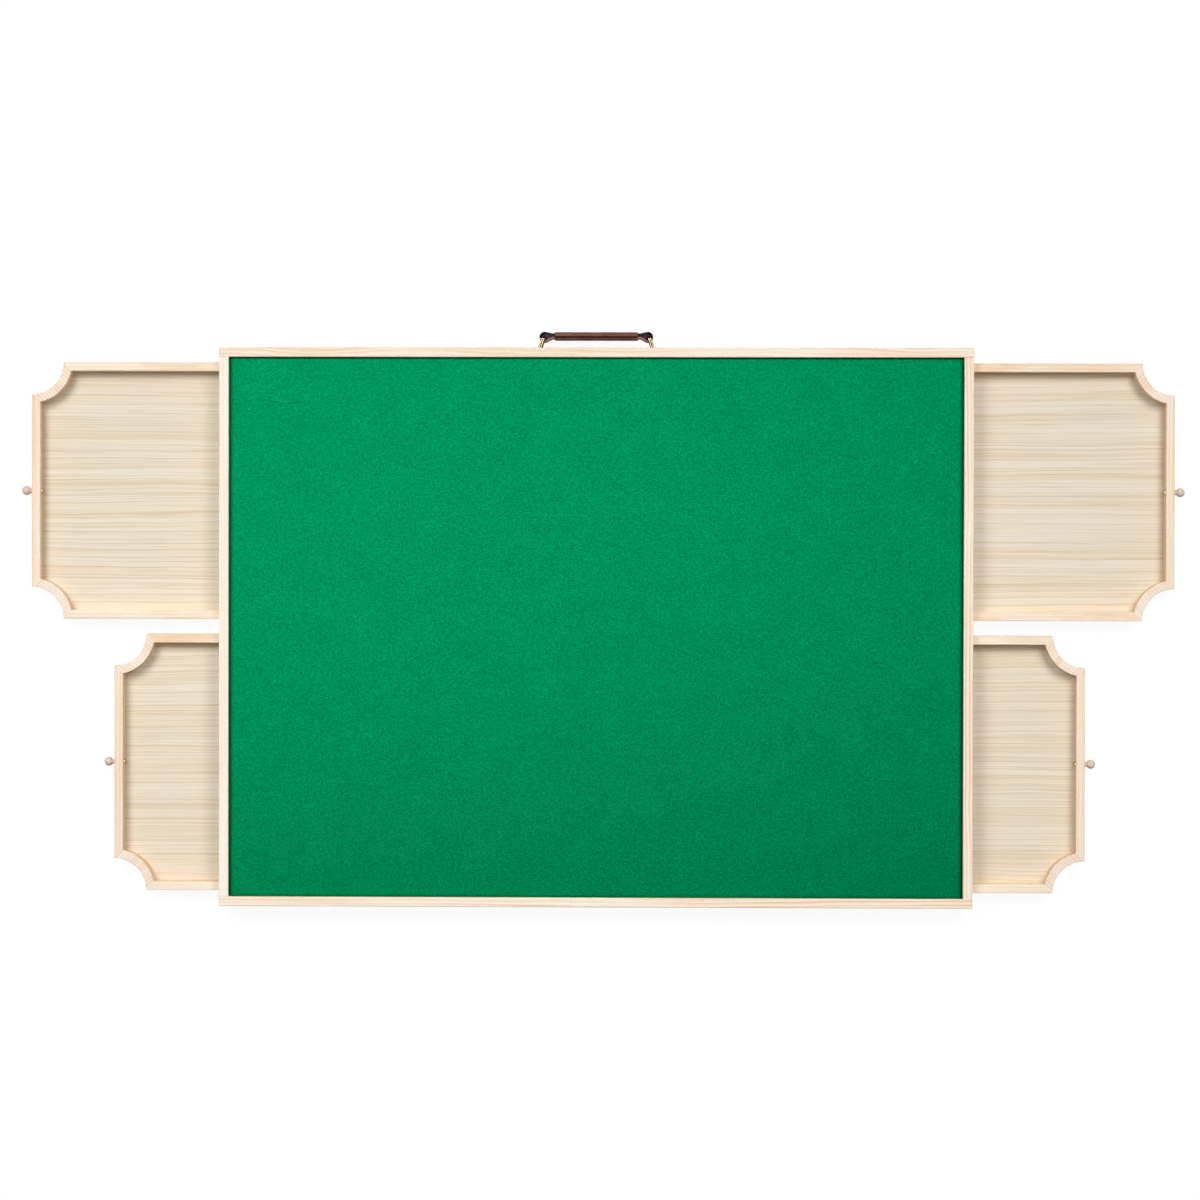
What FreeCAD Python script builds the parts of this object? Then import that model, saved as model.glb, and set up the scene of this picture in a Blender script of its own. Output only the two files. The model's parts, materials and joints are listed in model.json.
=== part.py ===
import FreeCAD, Part
import math
import os

# Jigsaw puzzle board with drawers. A pine case carries a felt work surface inside a raised lip.
# Four scalloped trays slide out of its two ends, and a leather handle hangs from wire rings at the back.
# Millimetres. +Z is up, +Y is the handle side, and the origin is on the floor under the middle of the case.

Vector = FreeCAD.Vector
ORIGIN = Vector(0, 0, 0)
X_AXIS = Vector(1, 0, 0)
Y_AXIS = Vector(0, 1, 0)
Z_AXIS = Vector(0, 0, 1)
TOUCH = 1e-6

# Case in plan
CASE_LENGTH = 787.0
CASE_DEPTH = 584.0
LIP_WIDTH = 10.0
PANEL_LEDGE = 4.0
BOTTOM_LEDGE = 7.0
DIVIDER_THICKNESS = 14.0
STOP_BAR_THICKNESS = 14.0
BOARD_GAP = 0.3

# Case in height, from the floor up
PAD_THICKNESS = 2.0
BOTTOM_THICKNESS = 3.0
SLIDE_GAP = 0.3
DRAWER_HEIGHT = 22.0
TOP_GAP = 1.2
END_RAIL_DROP = 5.8
PANEL_THICKNESS = 4.0
FELT_THICKNESS = 1.2
LIP_HEIGHT = 4.5
CASE_EDGE_ROUND = 0.9

# Drawers
DRAWER_WALL = 9.0
SCALLOP_RADIUS = 33.5
SIDE_GAP = 1.0
STOP_GAP = 1.5
REAR_GAP = 1.0
FLOOR_THICKNESS = 3.0
FLOOR_LIFT = 1.5
GROOVE_DEPTH = 3.0
GROOVE_GAP = 0.1
DRAWER_EDGE_ROUND = 0.7

# How far each drawer stands out of the case
BACK_LEFT_OPENING = 199.0
BACK_RIGHT_OPENING = 211.0
FRONT_LEFT_OPENING = 112.0
FRONT_RIGHT_OPENING = 118.5

# Turned knobs and the screws that hold them
KNOB_LENGTH = 12.0
KNOB_BALL_RADIUS = 4.7
KNOB_COLLAR_RADIUS = 3.5
KNOB_NECK_RADIUS = 2.6
KNOB_SCREW_RADIUS = 1.5
KNOB_SCREW_BITE = 6.5
KNOB_SCREW_HEAD_RADIUS = 3.0
KNOB_SCREW_HEAD_HEIGHT = 2.4
SCREW_HOLE_GAP = 0.1
CROSS_SHARE = 1.2
CROSS_WIDTH = 0.6
CROSS_DEPTH = 1.0

# Dowels in the frame, countersunk screws in the bottom board, and pads under it
DOWEL_RADIUS = 3.0
DOWEL_COVER = 2.0
DOWEL_GAP = 0.05
DOWEL_END_GAP = 0.4
BOTTOM_SCREW_COLUMNS = 4
BOTTOM_SCREW_MARGIN = 60.0
BOTTOM_SCREW_RADIUS = 1.5
BOTTOM_SCREW_LENGTH = 12.0
BOTTOM_SCREW_HEAD_RADIUS = 2.9
BOTTOM_SCREW_HEAD_HEIGHT = 1.6
PAD_RADIUS = 9.0
PAD_MARGIN = 24.0
PAD_EDGE_ROUND = 0.5

# Handle: two keeper plates let into the back rail, the rings of doubled wire that turn behind them,
# a strap with a loop at each end and a wrapped grip
HANDLE_OFFSET = 12.8
PLATE_WIDTH = 24.0
PLATE_THICKNESS = 1.2
PLATE_CORNER = 2.0
PLATE_GAP = 0.1
PLATE_SCREW_PLACE = 8.0
PLATE_SCREW_RADIUS = 1.1
PLATE_SCREW_LENGTH = 9.0
PLATE_SCREW_HEAD_RADIUS = 2.2
PLATE_SCREW_HEAD_HEIGHT = 1.2
RING_WIRE_RADIUS = 1.0
RING_TURN_OVERLAP = 0.2
RING_TILT = 18.5
RING_SWING = 12.0
RING_BEND = 2.6
RING_BEARING_GAP = 0.2
RING_POCKET_GAP = 0.5
RING_STRAP_GAP = 1.0
STRAP_WIDTH = 15.0
STRAP_THICKNESS = 2.8
LOOP_REACH = 10.5
LOOP_DROP = 0.9
LOOP_FLARE_GAP = 1.0
EYE_SHIFT = 0.8
EYE_SLACK = 0.8
EYE_SEAT_GAP = 0.6
GRIP_LENGTH = 87.0
GRIP_DEPTH = 8.8
GRIP_WALL = 2.0
GRIP_FLAT = 1.6
GRIP_SLOT_GAP = 0.1
GRIP_SEAM_PLACE = 1.5
GRIP_SEAM_WIDTH = 1.3
GRIP_SEAM_DEPTH = 1.2

# Heights that follow from the stack
BOTTOM_TOP = PAD_THICKNESS + BOTTOM_THICKNESS
DRAWER_LOW = BOTTOM_TOP + SLIDE_GAP
DRAWER_TOP = DRAWER_LOW + DRAWER_HEIGHT
END_RAIL_LOW = DRAWER_TOP + TOP_GAP
PANEL_SEAT = END_RAIL_LOW + END_RAIL_DROP
PANEL_TOP = PANEL_SEAT + PANEL_THICKNESS
FELT_TOP = PANEL_TOP + FELT_THICKNESS
CASE_TOP = FELT_TOP + LIP_HEIGHT
REAR_WALL_HEIGHT = PANEL_SEAT - REAR_GAP - DRAWER_LOW
KNOB_Z = DRAWER_LOW + DRAWER_HEIGHT / 2
HANDLE_Z = (PAD_THICKNESS + CASE_TOP) / 2

# Plan lines that follow from the case and the drawers
HALF_LENGTH = CASE_LENGTH / 2
HALF_DEPTH = CASE_DEPTH / 2
RAIL_THICKNESS = LIP_WIDTH + PANEL_LEDGE
RAIL_INSIDE = HALF_DEPTH - RAIL_THICKNESS
LIP_INSIDE = HALF_DEPTH - LIP_WIDTH
END_RAIL_INSIDE = HALF_LENGTH - RAIL_THICKNESS
END_LIP_INSIDE = HALF_LENGTH - LIP_WIDTH
HALF_DIVIDER = DIVIDER_THICKNESS / 2
BAY_WIDTH = RAIL_INSIDE - HALF_DIVIDER
BAY_MIDDLE = HALF_DIVIDER + BAY_WIDTH / 2
DRAWER_LENGTH = HALF_LENGTH - STOP_BAR_THICKNESS / 2 - STOP_GAP
DRAWER_HALF_WIDTH = BAY_WIDTH / 2 - SIDE_GAP

# Handle lines that follow from the grip outwards: the strap's loops, the rings in them and the rings' pivots
GRIP_HEIGHT = STRAP_WIDTH + 2 * GRIP_WALL
GRIP_Y = HALF_DEPTH + HANDLE_OFFSET
RING_TURN_STEP = 2 * RING_WIRE_RADIUS - RING_TURN_OVERLAP
RING_HALF_WIDTH = RING_TURN_STEP / 2 + RING_WIRE_RADIUS
EYE_RADIUS = RING_HALF_WIDTH + EYE_SLACK
LOOP_RADIUS = EYE_RADIUS + STRAP_THICKNESS
LOOP_X = GRIP_LENGTH / 2 + LOOP_REACH
EYE_X = LOOP_X + EYE_SHIFT
RING_BAR_X = EYE_X + EYE_SLACK - EYE_SEAT_GAP
RING_BAR_Y = GRIP_Y - LOOP_DROP
RING_BEARING = RING_HALF_WIDTH + RING_BEARING_GAP
RING_PIVOT_DEPTH = PLATE_THICKNESS + RING_BEARING
RING_PIVOT_Y = HALF_DEPTH - RING_PIVOT_DEPTH
RING_PIVOT_X = RING_BAR_X + (RING_BAR_Y - RING_PIVOT_Y) * math.tan(math.radians(RING_TILT))
RING_REACH = math.hypot(RING_PIVOT_X - RING_BAR_X, RING_PIVOT_Y - RING_BAR_Y)
RING_HEIGHT = STRAP_WIDTH + 2 * RING_STRAP_GAP + 2 * RING_WIRE_RADIUS
PLATE_HEIGHT = RING_HEIGHT - 2 * RING_BEND


def box(x_range, y_range, z_range):
    """A block between two planes on each axis, given in either order."""
    low = Vector(min(x_range), min(y_range), min(z_range))
    high = Vector(max(x_range), max(y_range), max(z_range))
    size = high - low
    return Part.makeBox(size.x, size.y, size.z, low)


def line(start, end):
    return Part.LineSegment(start, end).toShape()


def arc(start, middle, end):
    return Part.Arc(start, middle, end).toShape()


def polygon(points):
    """A flat face with straight sides."""
    return Part.Face(Part.makePolygon(points + points[:1]))


def outline(edges):
    """A flat face inside a closed run of edges."""
    return Part.Face(Part.Wire(edges))


def turned(edges, axis):
    """A round solid from the edges of its half section, about an axis through the origin."""
    return outline(edges).revolve(ORIGIN, axis, 360)


def is_straight_along(edge, axis):
    return isinstance(edge.Curve, Part.Line) and abs(edge.Curve.Direction.dot(axis)) > 1 - TOUCH


def is_level_at(edge, height):
    bounds = edge.BoundBox
    return abs(bounds.ZMin - height) < TOUCH and abs(bounds.ZMax - height) < TOUCH


def rounded(shape, radius, chosen):
    """The shape with the edges for which chosen(edge) is true rounded over."""
    return shape.makeFillet(radius, [edge for edge in shape.Edges if chosen(edge)])


def cross_recess(head_radius):
    """What a cross-headed driver fits into, cut down along +Z from the origin."""
    half_length = head_radius * CROSS_SHARE / 2
    long = (-half_length, half_length)
    short = (-CROSS_WIDTH / 2, CROSS_WIDTH / 2)
    depth = (0, CROSS_DEPTH)
    return box(long, short, depth).fuse(box(short, long, depth))


def countersunk_screw(head_radius, head_height, shank_radius, length):
    """A screw along +Z, with its flat head level with the origin."""
    section = [
        ORIGIN,
        Vector(head_radius, 0, 0),
        Vector(shank_radius, 0, head_height),
        Vector(shank_radius, 0, length),
        Vector(0, 0, length),
    ]
    return polygon(section).revolve(ORIGIN, Z_AXIS, 360)


def domed_screw(head_radius, head_height, shank_radius, shank_length):
    """A cross-headed screw along +X, with the underside of its domed head on the origin."""
    sphere = (head_radius**2 + head_height**2) / (2 * head_height)
    centre_x = sphere - head_height
    half_angle = math.atan2(head_radius, centre_x) / 2
    top = Vector(-head_height, 0, 0)
    crown = Vector(centre_x - sphere * math.cos(half_angle), 0, sphere * math.sin(half_angle))
    rim = Vector(0, 0, head_radius)
    neck = Vector(0, 0, shank_radius)
    tip = Vector(shank_length, 0, shank_radius)
    end = Vector(shank_length, 0, 0)
    shank = [line(rim, neck), line(neck, tip), line(tip, end)]
    screw = turned([arc(top, crown, rim)] + shank + [line(end, top)], X_AXIS)
    return screw.cut(cross_recess(head_radius).rotated(ORIGIN, Y_AXIS, 90).translated(top))


def save(name, *solids):
    """Writes one named node: a solid, or a group of like solids."""
    shape = solids[0] if len(solids) == 1 else Part.makeCompound(list(solids))
    shape.exportStep(os.path.join("parts", name + ".step"))


# Dowels: one in each corner of the frame, and one at each end of each stop bar


def pin_along_y(middle, radius, half_length):
    return Part.makeCylinder(radius, 2 * half_length, middle - Y_AXIS * half_length, Y_AXIS)


def corner_dowels(gap, end_gap):
    """Pins from the lips of the long rails into the end rails, or with gaps the holes for them."""
    x = HALF_LENGTH - LIP_WIDTH / 2
    z = (PANEL_SEAT + CASE_TOP) / 2
    half_length = LIP_WIDTH - DOWEL_COVER - DOWEL_END_GAP + end_gap
    places = [Vector(sx * x, sy * LIP_INSIDE, z) for sx in (-1, 1) for sy in (-1, 1)]
    return [pin_along_y(place, DOWEL_RADIUS + gap, half_length) for place in places]


def stop_bar_dowels(gap, end_gap):
    """Pins from the stop bars into the rails and the divider, or with gaps the holes for them."""
    z = (BOTTOM_TOP + PANEL_SEAT) / 2
    half_length = HALF_DIVIDER - DOWEL_COVER - DOWEL_END_GAP + end_gap
    places = [Vector(0, sy * y, z) for sy in (-1, 1) for y in (RAIL_INSIDE, HALF_DIVIDER)]
    return [pin_along_y(place, DOWEL_RADIUS + gap, half_length) for place in places]


def dowel_holes():
    return corner_dowels(DOWEL_GAP, DOWEL_END_GAP) + stop_bar_dowels(DOWEL_GAP, DOWEL_END_GAP)


# Screws through the bottom board into the rails and the divider


def bottom_screw_form(gap):
    return countersunk_screw(
        BOTTOM_SCREW_HEAD_RADIUS + gap,
        BOTTOM_SCREW_HEAD_HEIGHT + gap,
        BOTTOM_SCREW_RADIUS + gap,
        BOTTOM_SCREW_LENGTH + gap,
    )


def in_bottom_rows(screw):
    """A screw repeated in three rows under the case."""
    row = HALF_DEPTH - (BOTTOM_LEDGE + RAIL_THICKNESS) / 2
    reach = HALF_LENGTH - BOTTOM_SCREW_MARGIN
    step = 2 * reach / (BOTTOM_SCREW_COLUMNS - 1)
    columns = [-reach + step * i for i in range(BOTTOM_SCREW_COLUMNS)]
    return [screw.translated(Vector(x, y, PAD_THICKNESS)) for y in (-row, 0, row) for x in columns]


def bottom_screws():
    return in_bottom_rows(bottom_screw_form(0).cut(cross_recess(BOTTOM_SCREW_HEAD_RADIUS)))


def bottom_screw_holes():
    return in_bottom_rows(bottom_screw_form(SCREW_HOLE_GAP))


# The case


def long_rail(side):
    """A long rail: a lip above the panel's ledge, and a rabbet below for the bottom board.
    The back one is also cut for the handle."""
    section = [
        Vector(-HALF_LENGTH, side * (HALF_DEPTH - inset), z)
        for inset, z in (
            (0, PAD_THICKNESS),
            (0, CASE_TOP),
            (LIP_WIDTH, CASE_TOP),
            (LIP_WIDTH, PANEL_SEAT),
            (RAIL_THICKNESS, PANEL_SEAT),
            (RAIL_THICKNESS, BOTTOM_TOP),
            (BOTTOM_LEDGE, BOTTOM_TOP),
            (BOTTOM_LEDGE, PAD_THICKNESS),
        )
    ]
    rail = polygon(section).extrude(X_AXIS * CASE_LENGTH)
    rail = rounded(rail, CASE_EDGE_ROUND, lambda edge: is_level_at(edge, CASE_TOP))
    rail = rail.cut(dowel_holes() + bottom_screw_holes())
    return rail.cut(handle_cuts()) if side > 0 else rail


def end_rail(side):
    """A short rail over the drawers. Its lip laps onto the ledges of the long rails."""
    outer = side * HALF_LENGTH
    bar = box((outer, side * END_RAIL_INSIDE), (-RAIL_INSIDE, RAIL_INSIDE), (END_RAIL_LOW, PANEL_SEAT))
    lip = box((outer, side * END_LIP_INSIDE), (-LIP_INSIDE, LIP_INSIDE), (PANEL_SEAT, CASE_TOP))
    rail = bar.fuse(lip).removeSplitter()

    def is_long_top_edge(edge):
        return is_straight_along(edge, Y_AXIS) and is_level_at(edge, CASE_TOP)

    return rounded(rail, CASE_EDGE_ROUND, is_long_top_edge).cut(dowel_holes())


def centre_divider():
    """The bar between the front and the back bays, notched under the end rails."""
    side_view = [
        Vector(x, -HALF_DIVIDER, z)
        for x, z in (
            (-HALF_LENGTH, BOTTOM_TOP),
            (HALF_LENGTH, BOTTOM_TOP),
            (HALF_LENGTH, END_RAIL_LOW),
            (END_RAIL_INSIDE, END_RAIL_LOW),
            (END_RAIL_INSIDE, PANEL_SEAT),
            (-END_RAIL_INSIDE, PANEL_SEAT),
            (-END_RAIL_INSIDE, END_RAIL_LOW),
            (-HALF_LENGTH, END_RAIL_LOW),
        )
    ]
    bar = polygon(side_view).extrude(Y_AXIS * DIVIDER_THICKNESS)
    return bar.cut(dowel_holes() + bottom_screw_holes())


def stop_bar(side):
    """A cross bar at the middle of a bay, where both of its drawers stop and the panel rests."""
    half = STOP_BAR_THICKNESS / 2
    bar = box((-half, half), (side * HALF_DIVIDER, side * RAIL_INSIDE), (BOTTOM_TOP, PANEL_SEAT))
    return bar.cut(dowel_holes())


def surface_sheet(low, high):
    """A sheet of the work surface, just inside the lip."""
    half_x = END_LIP_INSIDE - BOARD_GAP
    half_y = LIP_INSIDE - BOARD_GAP
    return box((-half_x, half_x), (-half_y, half_y), (low, high))


def bottom_board():
    half_y = HALF_DEPTH - BOTTOM_LEDGE - BOARD_GAP
    board = box((-HALF_LENGTH, HALF_LENGTH), (-half_y, half_y), (PAD_THICKNESS, BOTTOM_TOP))
    return board.cut(bottom_screw_holes())


def anti_slip_pads():
    """Round pads under the four corners and the middle."""
    x = HALF_LENGTH - PAD_MARGIN
    y = HALF_DEPTH - PAD_MARGIN
    pad = Part.makeCylinder(PAD_RADIUS, PAD_THICKNESS)
    pad = rounded(pad, PAD_EDGE_ROUND, lambda edge: is_level_at(edge, 0))
    places = [Vector(sx * x, sy * y, 0) for sx in (-1, 1) for sy in (-1, 1)]
    return [pad.translated(place) for place in places + [ORIGIN]]


# The drawers, drawn pointing along +X, with the rear face on x = 0 and the middle on y = 0.
# Left and right are as seen by someone who faces the drawer's front, so +y is on the right.


def scallop_end(inset, on_side):
    """Where the scallop's arc at an inset meets the line at that inset from the side, or from the front."""
    reach = math.sqrt((SCALLOP_RADIUS + inset) ** 2 - inset**2)
    if on_side:
        return Vector(DRAWER_LENGTH - reach, DRAWER_HALF_WIDTH - inset, 0)
    return Vector(DRAWER_LENGTH - inset, DRAWER_HALF_WIDTH - reach, 0)


def scallop_middle(inset):
    step = (SCALLOP_RADIUS + inset) * math.sqrt(0.5)
    return Vector(DRAWER_LENGTH - step, DRAWER_HALF_WIDTH - step, 0)


def on_hand(points, hand):
    """Points of the right side as they are, or flipped to the left side."""
    return [Vector(p.x, hand * p.y, p.z) for p in points]


def floor_slab(gap):
    """The floor board with its scalloped corners, or with a gap the groove that it slides into."""
    inset = DRAWER_WALL - GROOVE_DEPTH - gap
    right = [
        Vector(inset, DRAWER_HALF_WIDTH - inset, 0),
        scallop_end(inset, True),
        scallop_middle(inset),
        scallop_end(inset, False),
    ]
    rear, side, middle, front = right
    left_rear, left_side, left_middle, left_front = on_hand(right, -1)
    face = outline(
        [
            line(left_rear, rear),
            line(rear, side),
            arc(side, middle, front),
            line(front, left_front),
            arc(left_front, left_middle, left_side),
            line(left_side, left_rear),
        ]
    )
    return face.extrude(Z_AXIS * (FLOOR_THICKNESS + gap)).translated(Z_AXIS * (DRAWER_LOW + FLOOR_LIFT))


def drawer_wall(plan, height):
    """A wall raised from its plan face, rounded along its top and grooved for the floor."""
    solid = plan.extrude(Z_AXIS * height).translated(Z_AXIS * DRAWER_LOW)
    shortest = 2 * DRAWER_WALL

    def is_long_top_edge(edge):
        return is_level_at(edge, DRAWER_LOW + height) and edge.Length > shortest

    return rounded(solid, DRAWER_EDGE_ROUND, is_long_top_edge).cut(floor_slab(GROOVE_GAP))


def side_wall(hand):
    """A side wall, mitred where the scallop starts."""
    corners = [
        Vector(0, DRAWER_HALF_WIDTH, 0),
        scallop_end(0, True),
        scallop_end(DRAWER_WALL, True),
        Vector(0, DRAWER_HALF_WIDTH - DRAWER_WALL, 0),
    ]
    return drawer_wall(polygon(on_hand(corners, hand)), DRAWER_HEIGHT)


def scallop(hand):
    """A hollow quarter-round corner, mitred at both ends."""
    outside = [scallop_end(0, True), scallop_middle(0), scallop_end(0, False)]
    inside = [scallop_end(DRAWER_WALL, False), scallop_middle(DRAWER_WALL), scallop_end(DRAWER_WALL, True)]
    a, b, c = on_hand(outside, hand)
    d, e, f = on_hand(inside, hand)
    return drawer_wall(outline([arc(a, b, c), line(c, d), arc(d, e, f), line(f, a)]), DRAWER_HEIGHT)


def front_wall():
    """The front wall between the scallops, bored for the knob's screw."""
    right = [scallop_end(0, False), scallop_end(DRAWER_WALL, False)]
    left = on_hand(right, -1)
    return drawer_wall(polygon(right + left[::-1]), DRAWER_HEIGHT).cut(knob_screw_hole())


def rear_wall():
    """The rear wall. It is taller than the sides, so it catches on the end rail when pulled out."""
    half = DRAWER_HALF_WIDTH - DRAWER_WALL
    right = [Vector(0, half, 0), Vector(DRAWER_WALL, half, 0)]
    left = on_hand(right, -1)
    return drawer_wall(polygon(right + left[::-1]), REAR_WALL_HEIGHT)


def knob_screw_hole():
    """A bore through the front wall and into the knob."""
    start = Vector(DRAWER_LENGTH - DRAWER_WALL, 0, KNOB_Z)
    depth = DRAWER_WALL + KNOB_SCREW_BITE + SCREW_HOLE_GAP
    return Part.makeCylinder(KNOB_SCREW_RADIUS + SCREW_HOLE_GAP, depth, start, X_AXIS)


def knob():
    """A turned knob: a collar that sweeps in to a neck and meets a ball."""
    ball_x = KNOB_LENGTH - KNOB_BALL_RADIUS
    neck_x = ball_x - math.sqrt(KNOB_BALL_RADIUS**2 - KNOB_NECK_RADIUS**2)
    collar = Vector(0, 0, KNOB_COLLAR_RADIUS)
    cove = Vector(neck_x / 2, 0, KNOB_NECK_RADIUS + (KNOB_COLLAR_RADIUS - KNOB_NECK_RADIUS) / 4)
    neck = Vector(neck_x, 0, KNOB_NECK_RADIUS)
    equator = Vector(ball_x, 0, KNOB_BALL_RADIUS)
    tip = Vector(KNOB_LENGTH, 0, 0)
    profile = [line(ORIGIN, collar), arc(collar, cove, neck), arc(neck, equator, tip), line(tip, ORIGIN)]
    solid = turned(profile, X_AXIS)
    return solid.translated(Vector(DRAWER_LENGTH, 0, KNOB_Z)).cut(knob_screw_hole())


def knob_screw():
    """The screw that holds the knob from inside the drawer."""
    length = DRAWER_WALL + KNOB_SCREW_BITE
    screw = domed_screw(KNOB_SCREW_HEAD_RADIUS, KNOB_SCREW_HEAD_HEIGHT, KNOB_SCREW_RADIUS, length)
    return screw.translated(Vector(DRAWER_LENGTH - DRAWER_WALL, 0, KNOB_Z))


def drawer_pieces():
    return {
        "front": front_wall(),
        "rear": rear_wall(),
        "right_side": side_wall(1),
        "left_side": side_wall(-1),
        "right_scallop": scallop(1),
        "left_scallop": scallop(-1),
        "floor": floor_slab(0),
        "knob": knob(),
        "knob_screw": knob_screw(),
    }


def in_bay(shape, x_side, y_side, opening):
    """A drawer piece turned to its end of the case, slid to its opening and moved to its bay."""
    piece = shape.translated(X_AXIS * (HALF_LENGTH + opening - DRAWER_LENGTH))
    if x_side < 0:
        piece = piece.rotated(ORIGIN, Z_AXIS, 180)
    return piece.translated(Y_AXIS * y_side * BAY_MIDDLE)


# The handle


def plate_screw_form(gap):
    return countersunk_screw(
        PLATE_SCREW_HEAD_RADIUS + gap,
        PLATE_SCREW_HEAD_HEIGHT + gap,
        PLATE_SCREW_RADIUS + gap,
        PLATE_SCREW_LENGTH + gap,
    )


def in_plates(screw):
    """A screw along +Z turned into the rail and repeated at both ends of both plates."""
    inward = screw.rotated(ORIGIN, X_AXIS, 90)
    offsets = (-PLATE_SCREW_PLACE, PLATE_SCREW_PLACE)
    places = [side * RING_PIVOT_X + offset for side in (-1, 1) for offset in offsets]
    return [inward.translated(Vector(x, HALF_DEPTH, HANDLE_Z)) for x in places]


def plate_screws():
    return in_plates(plate_screw_form(0).cut(cross_recess(PLATE_SCREW_HEAD_RADIUS)))


def plate_screw_holes():
    return in_plates(plate_screw_form(SCREW_HOLE_GAP))


def plate_block(side, gap):
    """The keeper plate's block, flush with the rail's face, or with a gap the recess for it."""
    half_x = PLATE_WIDTH / 2 + gap
    half_z = PLATE_HEIGHT / 2 + gap
    x = side * RING_PIVOT_X
    depth = (HALF_DEPTH - PLATE_THICKNESS, HALF_DEPTH)
    block = box((x - half_x, x + half_x), depth, (HANDLE_Z - half_z, HANDLE_Z + half_z))
    return rounded(block, PLATE_CORNER + gap, lambda edge: is_straight_along(edge, Y_AXIS))


def handle_plate(side):
    """A brass plate that keeps the ring's pivot bar in its channel, between the ring's legs."""
    return plate_block(side, 0).cut(plate_screw_holes())


def ring_pocket(side):
    """The hollow for a ring: a channel for its pivot bar, and a slot above and below where its legs swing."""
    lean = math.radians(RING_TILT + RING_SWING)
    inward = RING_PIVOT_DEPTH * math.tan(lean) + RING_HALF_WIDTH / math.cos(lean) + RING_POCKET_GAP
    low = RING_HEIGHT / 2 - RING_BEND - RING_POCKET_GAP
    high = RING_HEIGHT / 2 + RING_WIRE_RADIUS + RING_POCKET_GAP
    x = side * RING_PIVOT_X
    depth = (RING_PIVOT_Y - RING_BEARING, HALF_DEPTH)
    channel = box((x - RING_BEARING, x + RING_BEARING), depth, (HANDLE_Z - low, HANDLE_Z + low))
    across = (x + side * RING_BEARING, x - side * inward)
    slots = [box(across, depth, (HANDLE_Z + hand * low, HANDLE_Z + hand * high)) for hand in (-1, 1)]
    return [channel] + slots


def handle_cuts():
    """What is cut from the back rail for both rings, their plates and the plates' screws."""
    cuts = plate_screw_holes()
    for side in (-1, 1):
        cuts.append(plate_block(side, PLATE_GAP))
        cuts.extend(ring_pocket(side))
    return cuts


def doubled_wire():
    """The section of two turns of round wire that lie side by side along X and are joined where they meet."""
    notch = math.sqrt(RING_WIRE_RADIUS**2 - (RING_TURN_STEP / 2) ** 2)
    start = Vector(0, -notch, 0)
    end = Vector(0, notch, 0)
    right = arc(start, Vector(RING_HALF_WIDTH, 0, 0), end)
    left = arc(end, Vector(-RING_HALF_WIDTH, 0, 0), start)
    return Part.Wire([right, left])


def handle_ring(side):
    """A rectangular ring of doubled wire. One bar turns behind its plate, the strap hangs on the other."""
    half = RING_HEIGHT / 2
    far = RING_REACH
    bend = RING_BEND
    tuck = bend * (1 - math.sqrt(0.5))

    def at(reach, z):
        return Vector(0, reach, z)

    path = Part.Wire(
        [
            line(at(0, 0), at(0, half - bend)),
            arc(at(0, half - bend), at(tuck, half - tuck), at(bend, half)),
            line(at(bend, half), at(far - bend, half)),
            arc(at(far - bend, half), at(far - tuck, half - tuck), at(far, half - bend)),
            line(at(far, half - bend), at(far, bend - half)),
            arc(at(far, bend - half), at(far - tuck, tuck - half), at(far - bend, -half)),
            line(at(far - bend, -half), at(bend, -half)),
            arc(at(bend, -half), at(tuck, tuck - half), at(0, bend - half)),
            line(at(0, bend - half), at(0, 0)),
        ]
    )
    loop = path.makePipeShell([doubled_wire()], True, False)
    leaning = loop.rotated(ORIGIN, Z_AXIS, side * RING_TILT)
    return leaning.translated(Vector(side * RING_PIVOT_X, RING_PIVOT_Y, HANDLE_Z))


def tangent(start, centre, turn):
    """Where a line from start touches a loop's outside, on its left for a turn of 1 or its right for -1."""
    away = centre - start
    lean = math.degrees(math.asin(LOOP_RADIUS / away.Length))
    share = math.sqrt(1 - (LOOP_RADIUS / away.Length) ** 2)
    return start + FreeCAD.Rotation(Z_AXIS, turn * lean).multVec(away) * share


def handle_strap():
    """The doubled strap: a band through the grip that swells into a loop with an eye for each ring."""
    low = HANDLE_Z - STRAP_WIDTH / 2
    flare_x = GRIP_LENGTH / 2 + LOOP_FLARE_GAP
    band = []
    eyes = []
    for side in (1, -1):
        centre = Vector(side * LOOP_X, RING_BAR_Y, low)
        tip = centre + X_AXIS * side * LOOP_RADIUS
        start = Vector(side * flare_x, GRIP_Y + side * STRAP_THICKNESS, low)
        end = Vector(side * flare_x, GRIP_Y - side * STRAP_THICKNESS, low)
        leave = tangent(start, centre, 1)
        meet = tangent(end, centre, -1)
        band += [line(start, leave), arc(leave, tip, meet), line(meet, end)]
        band.append(line(end, Vector(-side * flare_x, end.y, low)))
        eyes.append(Part.makeCylinder(EYE_RADIUS, STRAP_WIDTH, Vector(side * EYE_X, RING_BAR_Y, low)))
    return outline(band).extrude(Z_AXIS * STRAP_WIDTH).cut(eyes)


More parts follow.
